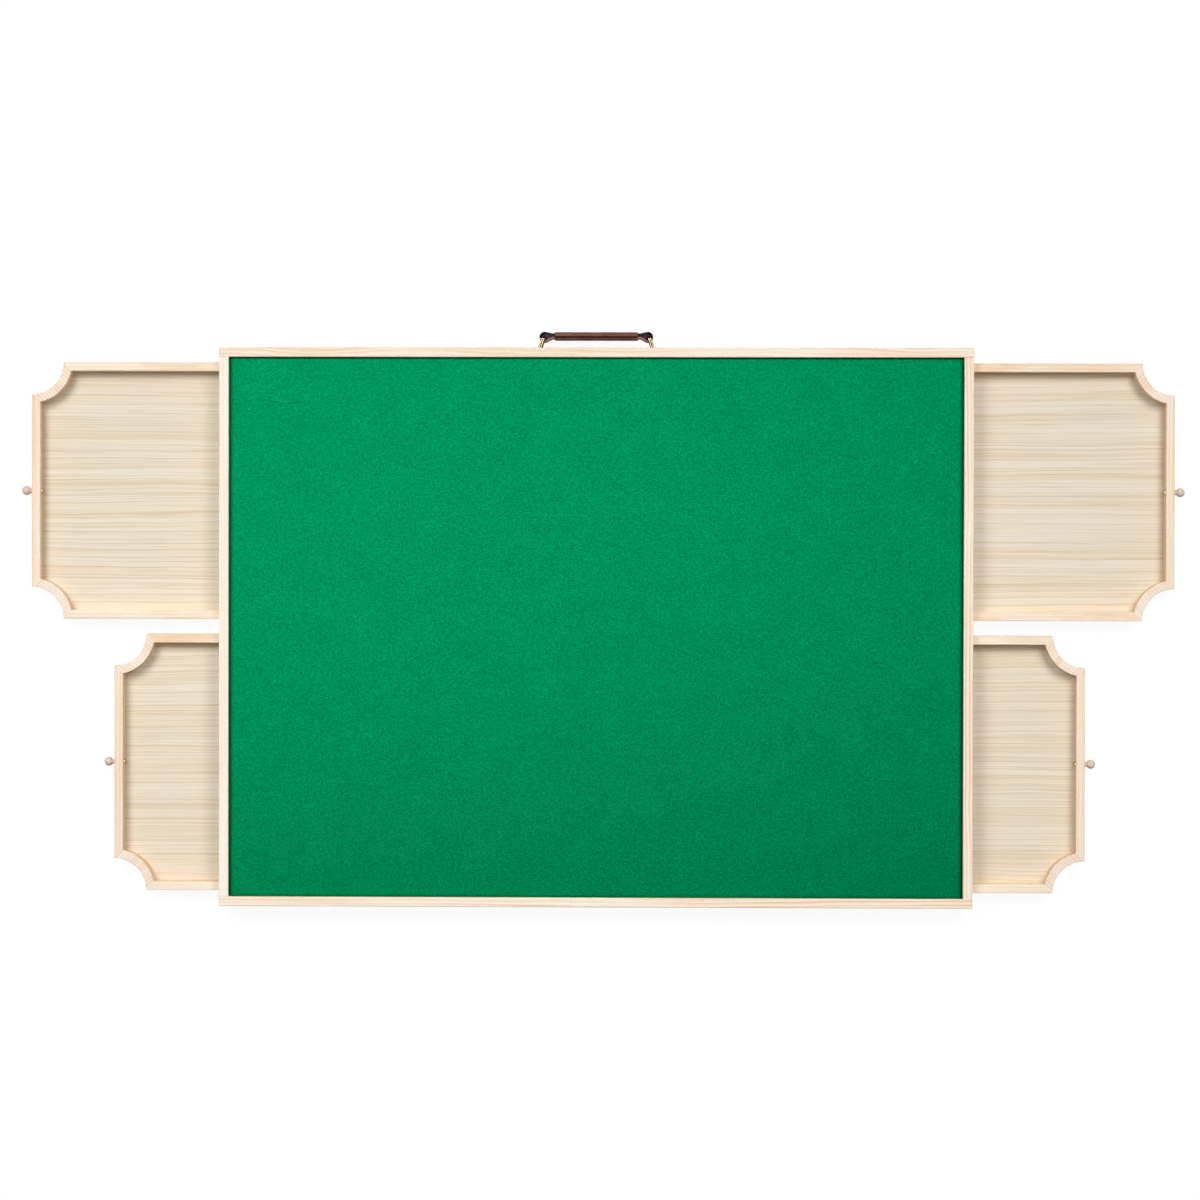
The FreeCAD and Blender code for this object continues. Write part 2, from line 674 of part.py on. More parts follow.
def handle_grip():
    """The wrapped grip: a rounded sleeve on the strap, with its seam along the top."""
    along = (-GRIP_LENGTH / 2, GRIP_LENGTH / 2)
    top = HANDLE_Z + GRIP_HEIGHT / 2

    def middle_block(half_y, half_z):
        return box(along, (GRIP_Y - half_y, GRIP_Y + half_y), (HANDLE_Z - half_z, HANDLE_Z + half_z))

    sleeve = middle_block(GRIP_DEPTH / 2, GRIP_HEIGHT / 2)
    round_over = (GRIP_DEPTH - GRIP_FLAT) / 2
    sleeve = rounded(sleeve, round_over, lambda edge: is_straight_along(edge, X_AXIS))
    slot = middle_block(STRAP_THICKNESS + GRIP_SLOT_GAP, STRAP_WIDTH / 2 + GRIP_SLOT_GAP)
    seam_y = GRIP_Y - GRIP_SEAM_PLACE
    half_seam = GRIP_SEAM_WIDTH / 2
    seam = box(along, (seam_y - half_seam, seam_y + half_seam), (top - GRIP_SEAM_DEPTH, top))
    return sleeve.cut([slot, seam])


def save_case():
    save("back_rail", long_rail(1))
    save("front_rail", long_rail(-1))
    save("left_end_rail", end_rail(-1))
    save("right_end_rail", end_rail(1))
    save("centre_divider", centre_divider())
    save("back_stop_bar", stop_bar(1))
    save("front_stop_bar", stop_bar(-1))
    save("corner_dowels", *corner_dowels(0, 0))
    save("stop_bar_dowels", *stop_bar_dowels(0, 0))
    save("work_panel", surface_sheet(PANEL_SEAT, PANEL_TOP))
    save("felt_sheet", surface_sheet(PANEL_TOP, FELT_TOP))
    save("bottom_board", bottom_board())
    save("bottom_screws", *bottom_screws())
    save("anti_slip_pads", *anti_slip_pads())


def save_drawers():
    pieces = drawer_pieces()
    for name, x_side, y_side, opening in (
        ("back_left", -1, 1, BACK_LEFT_OPENING),
        ("back_right", 1, 1, BACK_RIGHT_OPENING),
        ("front_left", -1, -1, FRONT_LEFT_OPENING),
        ("front_right", 1, -1, FRONT_RIGHT_OPENING),
    ):
        for piece, shape in pieces.items():
            save(f"{name}_drawer_{piece}", in_bay(shape, x_side, y_side, opening))


def save_handle():
    for name, side in (("left", -1), ("right", 1)):
        save(f"{name}_handle_plate", handle_plate(side))
        save(f"{name}_handle_ring", handle_ring(side))
    save("handle_plate_screws", *plate_screws())
    save("handle_strap", handle_strap())
    save("handle_grip", handle_grip())


os.makedirs("parts", exist_ok=True)
save_case()
save_drawers()
save_handle()
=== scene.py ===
import bpy
import json
import math
from collections import namedtuple
from mathutils import Matrix, Vector, noise


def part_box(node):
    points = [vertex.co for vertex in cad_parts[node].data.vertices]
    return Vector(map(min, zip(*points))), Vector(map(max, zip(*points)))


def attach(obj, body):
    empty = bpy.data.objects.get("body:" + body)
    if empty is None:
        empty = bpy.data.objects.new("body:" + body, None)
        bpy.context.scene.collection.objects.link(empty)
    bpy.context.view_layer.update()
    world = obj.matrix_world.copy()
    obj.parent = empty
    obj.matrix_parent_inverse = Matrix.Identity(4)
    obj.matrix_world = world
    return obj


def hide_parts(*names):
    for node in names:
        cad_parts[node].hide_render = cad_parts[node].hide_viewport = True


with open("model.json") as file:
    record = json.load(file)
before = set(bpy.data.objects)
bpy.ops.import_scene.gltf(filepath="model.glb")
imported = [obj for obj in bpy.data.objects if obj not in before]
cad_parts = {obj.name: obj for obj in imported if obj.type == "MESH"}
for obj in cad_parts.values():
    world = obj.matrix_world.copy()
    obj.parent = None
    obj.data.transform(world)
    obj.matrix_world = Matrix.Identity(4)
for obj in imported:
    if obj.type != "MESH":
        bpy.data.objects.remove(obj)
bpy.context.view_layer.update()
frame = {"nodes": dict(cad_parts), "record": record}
nodes = frame["nodes"]

# Camera, above the board with a long lens
CAMERA_PLACE = (0.0630, 0.0711, 3.6212)
CAMERA_TURN = (-0.01174, 0.01632, 0.00220)
CAMERA_LENS = 102.94
CAMERA_SENSOR = 36.0
CAMERA_FAR = 30.0

# Light: a large lamp at the back left for that side, a weaker one at the back right, and an even white room
LEFT_LAMP_PLACE = (-1.40, 1.23, 2.94)
LEFT_LAMP_AIM = (-0.72, -0.08, 0.0)
LEFT_LAMP_POWER = 9.6
RIGHT_LAMP_PLACE = (1.40, 1.23, 2.94)
RIGHT_LAMP_AIM = (0.72, -0.08, 0.0)
RIGHT_LAMP_POWER = 8.5
LAMP_SIZE = 1.64
LAMP_SPREAD = math.radians(57.5)
ROOM_LIGHT = 0.22
ROOM_GLOW = 0.955
FLOOR_SIZE = 9.0
FLOOR_COLOUR = (0.09, 0.09, 0.09, 1)
FLOOR_GLOW = 0.935

# Felt sheet, with a finer grid at the back left, where it is creased
FELT_STEP = 0.0040
FELT_FINE_STEP = 0.0006
FELT_FINE_X = -0.265
FELT_FINE_Y = 0.200
FELT_WAVE = 0.00010
FELT_WAVE_SCALE = 22
FELT_RIPPLE_SCALE = 70
FELT_RIPPLE_SHARE = 0.5
FELT_RIPPLE_SEED = 3
FELT_EDGE_DROP = 0.0010
FELT_EDGE_ROLL = 0.0026
# Painted shadow of the lip on the felt: how dark it gets along the back, and how wide and how dark along the
# sides
FELT_BACK_SHADOW = 0.15
FELT_SIDE_SHADOW_WIDTH = 0.0055
FELT_SIDE_SHADOW = 0.30
FELT_DEEP = (0.0006, 0.262, 0.093, 1)
FELT_BRIGHT = (0.0006, 0.279, 0.100, 1)
FELT_SHEEN = (0.02, 1.0, 0.55, 1)
FELT_SHEEN_BY = 0.05
FELT_SHEEN_ROUGH = 0.5
# Painted light falloff over the felt: lighter at the back left, towards the lamps, and darker towards the
# front right
LIGHT_FALLOFF_SLOPE = (-0.20, 0.56, 0.0)
LIGHT_FALLOFF_BEND = (-0.18, -0.90, 0.0)
LINT_TONE = (0.03, 0.42, 0.22, 1)
LINT_MOST = 0.22
# Painted highlight on the felt's creases: its colour, the heights above the felt where it starts and where it
# is full, and its most
CREASE_HIGHLIGHT_TONE = (0.03, 0.45, 0.24, 1)
CREASE_HIGHLIGHT_FROM = 0.0005
CREASE_HIGHLIGHT_TO = 0.0014
CREASE_HIGHLIGHT_MOST = 0.8
CREASE_WIDTH = 0.0013
CREASE_BOW = 0.0010
CREASE_BENDS = 3
# Each crease: two ends in plan and a height
FELT_CREASES = (
    ((-0.358, 0.237), (-0.292, 0.235), 0.00105),
    ((-0.298, 0.242), (-0.268, 0.242), 0.00085),
    ((-0.369, 0.226), (-0.357, 0.229), 0.00160),
    ((-0.377, 0.281), (-0.378, 0.236), 0.00115),
    ((-0.378, 0.240), (-0.379, 0.202), 0.00115),
)

# Leather strap
STRAP_HALF = 0.0029
STRAP_PLY = 0.0022
STRAP_END_PLY = 0.0016
STRAP_EDGE_ROUND = 0.0006
LOOP_FLARE_GAP = 0.0010
LOOP_STEPS = 36
FLARE_STEPS = 10
BROWN_FROM = -0.20
# The fillers and the sleeves below are dark pieces that stand in for the shade inside the loops: painted
# shade
FILLER_SINK = 0.0010
FILLER_REACH = 0.9
FILLER_EYE = 0.00275
FILLER_STEPS = 20
EYE_SHIFT = 0.0010
SLEEVE_RADIUS = 0.0023
SLEEVE_ROUND = 0.00025
SLEEVE_SIDES = 40
FLANGE_RADIUS = 0.0042
FLANGE_THICKNESS = 0.0008
FLANGE_GAP = 0.0001

# Leather grip
GRIP_ROUND = 0.0036
GRIP_WALL = 0.00130
GRIP_MOUTH = 0.0030
GRIP_SEAM_Y = -0.0012
GRIP_SEAM_DEPTH = 0.0013
GRIP_SEAM_HALF = 0.00075
GRIP_SEAM_LIP = 0.00015
SEAM_LIP_PLACE = 2
SEAM_LIP_SHARP = 2
# Seam faces deeper than this share get near-black leather: painted shade in the groove
SEAM_SHADE_FROM = 0.3
GRIP_SECTIONS = 90
GRIP_STEP = 0.0003
GRIP_CORNER_STEPS = 24
GRIP_INSET = 0.00018
GRIP_FLAT_FROM = 0.0018
GRIP_FLAT_INSET = 0.00005
GRIP_WAVE = 0.00008
GRIP_WAVE_SCALE = 90
GRIP_WAVE_SEED = 1.7
GRIP_RIPPLE = 0.008
GRIP_RIPPLE_SCALE = (260, 500, 160)
# Each step round the grip's end: how far from the end it lies and how far its outline is drawn in
GRIP_END = (
    (GRIP_MOUTH, GRIP_WALL),
    (0.0004, GRIP_WALL),
    (0.0, GRIP_WALL - 0.0003),
    (0.0, 0.0006),
    (0.0003, 0.0002),
    (0.0010, GRIP_FLAT_INSET),
)
STITCH_STEP = 0.0036
STITCH_REACH = 0.0012
STITCH_LEAN = 0.0007
STITCH_RADIUS = 0.00020
STITCH_SIDES = 6
STITCH_POINTS = 7
STITCH_SINK = 0.0005
STITCH_DIP = 0.0006

# Leathers: the colour, the colour in creases, the roughness and the shine
# Near-black leather for the pieces that stand in for the shade inside the loops: painted shade
SHADE_LEATHER = ((0.080, 0.054, 0.055, 1), (0.046, 0.030, 0.031, 1), 0.80, 0.10)
LEATHERS = {
    "strap_brown": ((0.270, 0.140, 0.110, 1), (0.150, 0.070, 0.052, 1), 0.46, 0.38),
    "strap_black": ((0.015, 0.010, 0.009, 1), (0.006, 0.004, 0.004, 1), 0.42, 0.15),
    "strap_painted_shade": SHADE_LEATHER,
    "sleeve_painted_shade": SHADE_LEATHER,
    "grip_leather": ((0.205, 0.082, 0.058, 1), (0.130, 0.050, 0.035, 1), 0.58, 0.12),
    # The seam's leather is near-black: painted shade in the groove
    "grip_seam_shade": ((0.022, 0.009, 0.006, 1), (0.009, 0.004, 0.003, 1), 0.60, 0.05),
}

# Metals: the colour of a painted highlight on faces that look up and of painted shade on upright ones, the
# roughness, and where the painted highlight begins, from 0 on an upright face to 1 on a level one
METALS = {
    "brass": ((0.78, 0.58, 0.27, 1), (0.500, 0.355, 0.150, 1), 0.22, 0.85),
    "ring_brass": ((0.62, 0.48, 0.25, 1), (0.035, 0.022, 0.010, 1), 0.20, 0.94),
    "zinc_steel": ((0.66, 0.66, 0.67, 1), (0.40, 0.40, 0.42, 1), 0.32, 0.85),
}
# Where the painted highlight on metal is full, and how far patches of tarnish shift it
LIT_AT = 0.99
TARNISH_BY = 0.2

# Colours of the other materials
WHITE = (1, 1, 1, 1)
FIBREBOARD_DARK = (0.44, 0.31, 0.19, 1)
FIBREBOARD_PALE = (0.53, 0.39, 0.25, 1)
RUBBER_DARK = (0.020, 0.020, 0.021, 1)
RUBBER_DUST = (0.06, 0.058, 0.055, 1)
THREAD_DARK = (0.016, 0.009, 0.006, 1)
THREAD_PALE = (0.060, 0.030, 0.018, 1)

# Noise scales of materials other than wood, per metre
FIBREBOARD_CLOUD = 45.0
FIBREBOARD_FIBRE = 900.0
FELT_CLOUD = 30.0
FELT_CLUMP = (560.0, 720.0, 640.0)
FELT_FIBRE = 1100.0
FELT_LINT = (260.0, 520.0, 300.0)
METAL_TARNISH = 260.0
METAL_SCRATCH = (300.0, 300.0, 2600.0)
LEATHER_PEBBLE = 1100.0
LEATHER_CREASE = (90.0, 420.0, 420.0)
LEATHER_RUB = 70.0
RUBBER_GRAIN = 1500.0
RUBBER_PATCH = 120.0
THREAD_TWIST = (2600.0, 900.0, 900.0)
PEBBLE_DISORDER = 0.9

# The part of a noise, which runs from 0 to 1, over which a pattern changes
WIDE = (0.2, 0.8)
MIDDLE = (0.25, 0.75)
NARROW = (0.3, 0.7)
RING_FADE_RANGE = (0.35, 0.65)
STREAK_RANGE = (0.40, 0.72)
FIBRE_RANGE = (0.40, 0.75)
FLECK_RANGE = (0.66, 0.80)
LINT_RANGE = (0.74, 0.84)
LEATHER_CREASE_RANGE = (0.32, 0.62)
DUST_RANGE = (0.45, 0.75)

# How much a pattern darkens and lightens a colour
FIBREBOARD_TONES = (0.82, 1.10)
FELT_CLUMP_TONES = (0.66, 1.34)
FELT_FIBRE_TONES = (0.68, 1.32)
LEATHER_TONES = (0.84, 1.14)

# Roughness, from least to most, or how far it goes below and above the usual one
FIBREBOARD_ROUGH = (0.62, 0.82)
RUBBER_ROUGH = (0.60, 0.80)
THREAD_ROUGH = (0.45, 0.65)
WOOD_SMOOTHER = 0.07
WOOD_ROUGHER = 0.10
METAL_SMOOTHER = 0.06
METAL_ROUGHER = 0.08
LEATHER_SMOOTHER = 0.06
LEATHER_ROUGHER = 0.10

# Bumps: strength and height, then the share of the coarser pattern where there are two
WOOD_BUMPS = (0.25, 0.00012)
FIBREBOARD_BUMPS = (0.3, 0.0001)
FELT_BUMPS = (0.40, 0.0003)
METAL_BUMPS = (0.08, 0.00004)
LEATHER_BUMPS = (0.25, 0.00015)
RUBBER_BUMPS = (0.3, 0.00008)
THREAD_BUMPS = (0.3, 0.00006)
WOOD_RING_BUMP = 0.3
FELT_CLUMP_BUMP = 0.6
LEATHER_CREASE_BUMP = 0.8

# Wood looks: colours, the last of them a tint of painted warm bounce light on upright faces, then the rings'
# gap, depth and sharpness and how far they wander, then how strong the fibres and flecks are and how rough
# the wood is, then the scale of each noise along and across the grain, per metre
WoodLook = namedtuple(
    "WoodLook",
    "pale warm ring_tone fleck_tone flank_tint ring_gap ring_depth ring_sharp wander_by"
    " fibre_by fleck_by rough wander streak fibre fleck",
)
PINE = WoodLook(
    pale=(0.955, 0.825, 0.685, 1),
    warm=(0.900, 0.700, 0.490, 1),
    ring_tone=(0.800, 0.540, 0.345, 1),
    fleck_tone=(0.680, 0.440, 0.270, 1),
    flank_tint=(1.0, 0.90, 0.74),
    ring_gap=0.0036,
    ring_depth=0.75,
    ring_sharp=2.6,
    wander_by=0.012,
    fibre_by=0.30,
    fleck_by=0.25,
    rough=0.46,
    wander=(3.0, 16.0, 16.0),
    streak=(4.0, 90.0, 90.0),
    fibre=(10.0, 800.0, 800.0),
    fleck=(150.0, 2400.0, 2400.0),
)
SWIRLED_PINE = PINE._replace(
    pale=(0.970, 0.880, 0.750, 1),
    warm=(0.925, 0.765, 0.570, 1),
    ring_tone=(0.780, 0.490, 0.290, 1),
    ring_gap=0.0050,
    ring_depth=1.0,
    ring_sharp=1.8,
    wander_by=0.030,
    wander=(6.0, 16.0, 16.0),
)
FIGURED_PINE = PINE._replace(
    pale=(0.990, 0.920, 0.795, 1),
    warm=(0.955, 0.810, 0.625, 1),
    ring_tone=(0.800, 0.480, 0.260, 1),
    ring_gap=0.0042,
    ring_depth=1.0,
    ring_sharp=2.0,
    wander_by=0.016,
)
CLEAR_PINE = PINE._replace(
    pale=(0.980, 0.925, 0.825, 1),
    warm=(0.955, 0.850, 0.710, 1),
    ring_depth=0.35,
    fibre_by=0.18,
)
LINED_PINE = PINE._replace(
    pale=(0.960, 0.850, 0.720, 1),
    warm=(0.920, 0.750, 0.570, 1),
    ring_tone=(0.720, 0.450, 0.290, 1),
    ring_gap=0.0034,
    ring_depth=0.8,
    ring_sharp=2.8,
    wander_by=0.009,
)
STREAKED_PINE = PINE._replace(
    pale=(0.970, 0.860, 0.720, 1),
    warm=(0.885, 0.670, 0.440, 1),
    streak=(13.0, 55.0, 55.0),
)
PLYWOOD = WoodLook(
    pale=(0.820, 0.742, 0.622, 1),
    warm=(0.800, 0.698, 0.552, 1),
    ring_tone=(0.590, 0.440, 0.240, 1),
    fleck_tone=(0.600, 0.470, 0.320, 1),
    flank_tint=(1.0, 1.0, 1.0),
    ring_gap=0.0095,
    ring_depth=1.0,
    ring_sharp=28.0,
    wander_by=0.011,
    fibre_by=0.65,
    fleck_by=0.35,
    rough=0.58,
    wander=(4.0, 14.0, 14.0),
    streak=(2.0, 100.0, 100.0),
    fibre=(2.5, 680.0, 680.0),
    fleck=(14.0, 520.0, 520.0),
)
BEECH = WoodLook(
    pale=(0.800, 0.640, 0.540, 1),
    warm=(0.750, 0.560, 0.460, 1),
    ring_tone=(0.460, 0.290, 0.210, 1),
    fleck_tone=(0.420, 0.260, 0.190, 1),
    flank_tint=(1.0, 1.0, 1.0),
    ring_gap=0.0016,
    ring_depth=0.18,
    ring_sharp=2.2,
    wander_by=0.001,
    fibre_by=0.14,
    fleck_by=0.35,
    rough=0.42,
    wander=(20.0, 60.0, 60.0),
    streak=(40.0, 500.0, 500.0),
    fibre=(120.0, 2600.0, 2600.0),
    fleck=(300.0, 2800.0, 2800.0),
)
RING_SLANT = 0.75
RING_FADE = (4.0, 55.0, 55.0)
RING_WEAKEST = 0.25
WOOD_SHINE = 0.25
UPRIGHT_RANGE = (0.2, 0.8)

# Pine pieces that look unlike the rest, by the ends of their names
PINE_LOOKS = {
    "swirled_pine": (SWIRLED_PINE, ("back_rail",)),
    "figured_pine": (FIGURED_PINE, ("front_rail", "right_end_rail")),
    "clear_pine": (CLEAR_PINE, ("left_end_rail",)),
    "lined_pine": (LINED_PINE, ("_scallop",)),
    "streaked_pine": (STREAKED_PINE, ("_side",)),
}


# Shader node helpers


def material(name):
    made = bpy.data.materials.new(name)
    made.use_nodes = True
    return made, made.node_tree, made.node_tree.nodes["Principled BSDF"]


def plug(tree, node, name, value):
    """Sets an input, or links it from a node or a socket."""
    if isinstance(value, bpy.types.Node):
        value = value.outputs[0]
    if isinstance(value, bpy.types.NodeSocket):
        tree.links.new(value, node.inputs[name])
    else:
        node.inputs[name].default_value = value


def add(tree, kind, inputs, **settings):
    made = tree.nodes.new("ShaderNode" + kind)
    for name, value in settings.items():
        setattr(made, name, value)
    for name, value in inputs.items():
        plug(tree, made, name, value)
    return made


def calc(tree, operation, *values):
    return add(tree, "Math", dict(enumerate(values)), operation=operation)


def remap(tree, value, low, high, to_low=0.0, to_high=1.0):
    """A value eased from one range to another."""
    ends = {"Value": value, "From Min": low, "From Max": high, "To Min": to_low, "To Max": to_high}
    return add(tree, "MapRange", ends, interpolation_type="SMOOTHSTEP")


def mixed(tree, factor, first, second):
    return add(tree, "Mix", {0: factor, 6: first, 7: second}, data_type="RGBA").outputs[2]


def scaled(tree, colour, factor):
    return add(tree, "VectorMath", {0: colour, "Scale": factor}, operation="SCALE")


def slope(tree, place, direction):
    """How far a place lies along a direction."""
    return add(tree, "VectorMath", {0: place, 1: direction}, operation="DOT_PRODUCT").outputs["Value"]


def object_place(tree):
    return add(tree, "TexCoord", {}).outputs["Object"]


def mottle(tree, place, scale, detail=2.0, roughness=0.5, distortion=0.0):
    """Noise from 0 to 1, with its own scale along each axis."""
    stretched = add(tree, "Mapping", {"Vector": place, "Scale": scale})
    settings = {"Scale": 1.0, "Detail": detail, "Roughness": roughness, "Distortion": distortion}
    return add(tree, "TexNoise", {"Vector": stretched, **settings})


def even(scale):
    return (scale, scale, scale)


def raise_bumps(tree, shader, height, strength, distance):
    bump = add(tree, "Bump", {"Height": height, "Strength": strength, "Distance": distance})
    plug(tree, shader, "Normal", bump)


def facing_up(tree):
    """One on a level face that looks up, zero on an upright one, and minus one on one that looks down."""
    return slope(tree, add(tree, "TexCoord", {}).outputs["Normal"], (0, 0, 1))


def upright_share(tree):
    """One on an upright face, easing to zero on a level one."""
    return remap(tree, calc(tree, "ABSOLUTE", facing_up(tree)), *UPRIGHT_RANGE, 1.0, 0.0)


# Materials


def wood(name, look, turn):
    """Wood with its grain along X turned by an angle about Z."""
    made, tree, shader = material(name)
    place = add(tree, "Mapping", {"Vector": object_place(tree), "Rotation": (0, 0, -turn)})
    along, across, up = add(tree, "SeparateXYZ", {0: place}).outputs
    wander = mottle(tree, place, look.wander, detail=3.0)
    bent = calc(tree, "MULTIPLY_ADD", wander, look.wander_by, across)
    flow = add(tree, "CombineXYZ", {0: along, 1: bent, 2: up})
    slanted = calc(tree, "MULTIPLY_ADD", up, RING_SLANT, bent)
    ring = calc(tree, "FRACT", calc(tree, "DIVIDE", slanted, look.ring_gap))
    ring = calc(tree, "POWER", ring, look.ring_sharp)
    weakest = RING_WEAKEST * look.ring_depth
    depth = remap(tree, mottle(tree, flow, RING_FADE), *RING_FADE_RANGE, weakest, look.ring_depth)
    streak = remap(tree, mottle(tree, flow, look.streak, detail=3.0), *STREAK_RANGE)
    fibre = mottle(tree, flow, look.fibre, detail=3.0, roughness=0.6)
    fleck = remap(tree, mottle(tree, flow, look.fleck, detail=0.0), *FLECK_RANGE)
    colour = mixed(tree, streak, look.pale, look.warm)
    colour = mixed(tree, calc(tree, "MULTIPLY", ring, depth), colour, look.ring_tone)
    colour = mixed(tree, remap(tree, fibre, *FIBRE_RANGE, 0.0, look.fibre_by), colour, look.ring_tone)
    colour = mixed(tree, calc(tree, "MULTIPLY", fleck, look.fleck_by), colour, look.fleck_tone)
    # Painted light: upright faces tinted warmer and darker, standing in for warm light bounced between the
    # walls
    bounce_tinted = add(tree, "VectorMath", {0: colour, 1: look.flank_tint}, operation="MULTIPLY")
    plug(tree, shader, "Base Color", mixed(tree, upright_share(tree), colour, bounce_tinted))
    least, most = look.rough - WOOD_SMOOTHER, look.rough + WOOD_ROUGHER
    plug(tree, shader, "Roughness", remap(tree, fibre, *WIDE, least, most))
    plug(tree, shader, "Specular IOR Level", WOOD_SHINE)
    raise_bumps(tree, shader, calc(tree, "MULTIPLY_ADD", ring, WOOD_RING_BUMP, fibre), *WOOD_BUMPS)
    return made


def fibreboard():
    """Pressed brown fibre, fine and even."""
    made, tree, shader = material("fibreboard")
    place = object_place(tree)
    cloud = mottle(tree, place, even(FIBREBOARD_CLOUD), detail=4.0)
    fibre = mottle(tree, place, even(FIBREBOARD_FIBRE), detail=3.0, distortion=1.5)
    colour = mixed(tree, remap(tree, cloud, *NARROW), FIBREBOARD_DARK, FIBREBOARD_PALE)
    plug(tree, shader, "Base Color", scaled(tree, colour, remap(tree, fibre, *MIDDLE, *FIBREBOARD_TONES)))
    plug(tree, shader, "Roughness", remap(tree, fibre, *WIDE, *FIBREBOARD_ROUGH))
    raise_bumps(tree, shader, fibre, *FIBREBOARD_BUMPS)
    return made


def painted_light_falloff(tree, place):
    """Painted light falloff on the felt: lightest at the back left, towards the lamps, and ever darker
    towards the front right.
    """
    squared = add(tree, "VectorMath", {0: place, 1: place}, operation="MULTIPLY")
    bend = slope(tree, squared, LIGHT_FALLOFF_BEND)
    return calc(tree, "ADD", calc(tree, "ADD", slope(tree, place, LIGHT_FALLOFF_SLOPE), bend), 1.0)


def painted_lip_shadow(tree, place):
    """One over the felt, falling in a painted shadow of the lip along its back and side edges, but not at the
    front.
    """
    low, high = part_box("felt_sheet")
    along, across, _ = add(tree, "SeparateXYZ", {0: place}).outputs
    past_side = calc(tree, "SUBTRACT", calc(tree, "ABSOLUTE", along), high.x)
    past_back = calc(tree, "SUBTRACT", across, high.y)
    side_shadow = remap(tree, past_side, -FELT_SIDE_SHADOW_WIDTH, 0.0, 1.0, FELT_SIDE_SHADOW)
    back_shadow = remap(tree, past_back, -FELT_EDGE_ROLL, 0.0, 1.0, FELT_BACK_SHADOW)
    return calc(tree, "MULTIPLY", side_shadow, back_shadow)


def crease_highlight(tree, place):
    """How far a crease is painted pale, as a painted highlight: zero on the flat felt, and more the higher a
    crease stands.
    """
    felt_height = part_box("felt_sheet")[1].z
    up = add(tree, "SeparateXYZ", {0: place}).outputs[2]
    return remap(tree, up, felt_height + CREASE_HIGHLIGHT_FROM, felt_height + CREASE_HIGHLIGHT_TO, 0.0, CREASE_HIGHLIGHT_MOST)


def felt():
    """Green pressed felt: tangled fibres, a little lint, painted light falling off from the back left, a
    painted shadow of the lip along its edges and painted highlights on its creases.
    """
    made, tree, shader = material("felt")
    place = object_place(tree)
    cloud = mottle(tree, place, even(FELT_CLOUD), detail=3.0)
    clump = mottle(tree, place, FELT_CLUMP, detail=3.0, roughness=0.65, distortion=0.6)
    fibre = mottle(tree, place, even(FELT_FIBRE), detail=3.0, roughness=0.7, distortion=2.5)
    lint = remap(tree, mottle(tree, place, FELT_LINT, detail=1.0, distortion=1.0), *LINT_RANGE)
    colour = mixed(tree, remap(tree, cloud, *NARROW), FELT_DEEP, FELT_BRIGHT)
    # Painted light falloff: lighter at the back left, darker towards the front right
    colour = scaled(tree, colour, painted_light_falloff(tree, place))
    colour = scaled(tree, colour, remap(tree, clump, *NARROW, *FELT_CLUMP_TONES))
    colour = scaled(tree, colour, remap(tree, fibre, *NARROW, *FELT_FIBRE_TONES))
    colour = mixed(tree, calc(tree, "MULTIPLY", lint, LINT_MOST), colour, LINT_TONE)
    # Painted highlight on the creases' crests
    colour = mixed(tree, crease_highlight(tree, place), colour, CREASE_HIGHLIGHT_TONE)
    # Painted shadow of the lip along the back and side edges
    plug(tree, shader, "Base Color", scaled(tree, colour, painted_lip_shadow(tree, place)))
    plug(tree, shader, "Roughness", 1.0)
    plug(tree, shader, "Specular IOR Level", 0.0)
    plug(tree, shader, "Sheen Weight", FELT_SHEEN_BY)
    plug(tree, shader, "Sheen Roughness", FELT_SHEEN_ROUGH)
    plug(tree, shader, "Sheen Tint", FELT_SHEEN)
    raise_bumps(tree, shader, calc(tree, "MULTIPLY_ADD", clump, FELT_CLUMP_BUMP, fibre), *FELT_BUMPS)
    return made


def metal(name):
    """Metal with a painted highlight where it faces up and painted shade on its sides, and duller in patches
    of tarnish.
    """
    lit_colour, shaded_colour, roughness, lit_from = METALS[name]
    made, tree, shader = material(name)
    place = object_place(tree)
    tarnish = mottle(tree, place, even(METAL_TARNISH), detail=4.0, roughness=0.6)
    scratch = mottle(tree, place, METAL_SCRATCH, detail=2.0)
    lit_facing = calc(tree, "ADD", facing_up(tree), TARNISH_BY / 2)
    wear_and_painted_light = calc(tree, "MULTIPLY_ADD", tarnish, -TARNISH_BY, lit_facing)
    least, most = roughness - METAL_SMOOTHER, roughness + METAL_ROUGHER
    # Painted highlight on faces that look up and painted shade on upright ones, shifted by patches of tarnish
    plug(tree, shader, "Base Color", mixed(tree, remap(tree, wear_and_painted_light, lit_from, LIT_AT), shaded_colour, lit_colour))
    plug(tree, shader, "Metallic", 1.0)
    plug(tree, shader, "Roughness", remap(tree, scratch, *MIDDLE, least, most))
    raise_bumps(tree, shader, scratch, *METAL_BUMPS)
    return made


